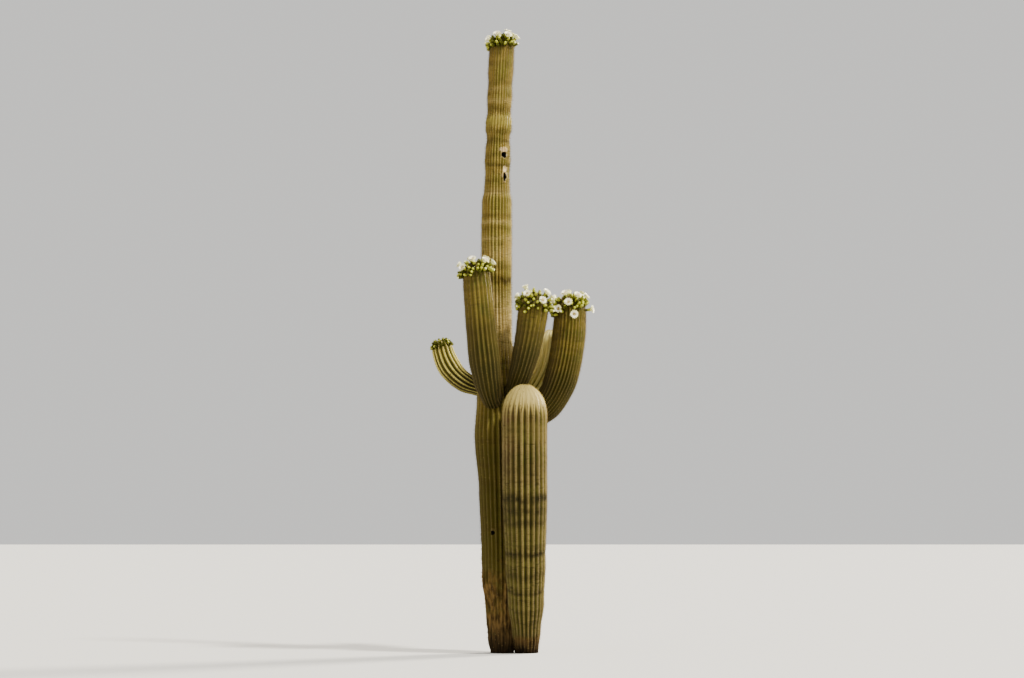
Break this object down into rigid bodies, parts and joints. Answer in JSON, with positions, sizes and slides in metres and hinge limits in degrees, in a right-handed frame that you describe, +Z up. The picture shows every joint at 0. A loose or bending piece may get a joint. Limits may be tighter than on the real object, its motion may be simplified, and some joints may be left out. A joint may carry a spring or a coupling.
{
  "type": "saguaro cactus",
  "caption": "Tall ribbed columnar cactus with upturned arms, flower crowns on its tips and a shorter stem that rises in front from the same foot, cut flat at ground level.",
  "frame": {"origin": "middle of the flat cut under the trunk, at ground level", "axes": "+Z up along the trunk, +X to the right arm's side, -Y towards the front stem and the viewer of the picture"},
  "size_m": [1.7935, 1.2991, 6.7805],
  "materials": {
    "trunk_skin": "waxy ribbed plant skin, olive gold with darker valleys, corky brown bark low down",
    "stem_skin": "waxy ribbed plant skin under dense pale spines, cream at the dome",
    "arm_skin": "waxy ribbed plant skin, yellow olive with tan spine lines on the crests",
    "spine": "dry satin spines, straw to grey, in rows of clusters down the crests of the ribs",
    "blossom": "waxy white petals round cream stamens, on scaly yellow-green tubes, with green buds"
  },
  "bodies": {
    "root": {"trunk": "trunk_skin", "front_stem": "stem_skin", "front_left_arm_elbow": "arm_skin", "front_left_arm_upright": "arm_skin", "front_right_arm_elbow": "arm_skin", "front_right_arm_upright": "arm_skin", "right_arm_elbow": "arm_skin", "right_arm_upright": "arm_skin", "rear_arm_elbow": "stem_skin", "rear_arm_upright": "stem_skin", "left_arm_elbow": "arm_skin", "left_arm_upright": "arm_skin"}
  },
  "joints": []
}
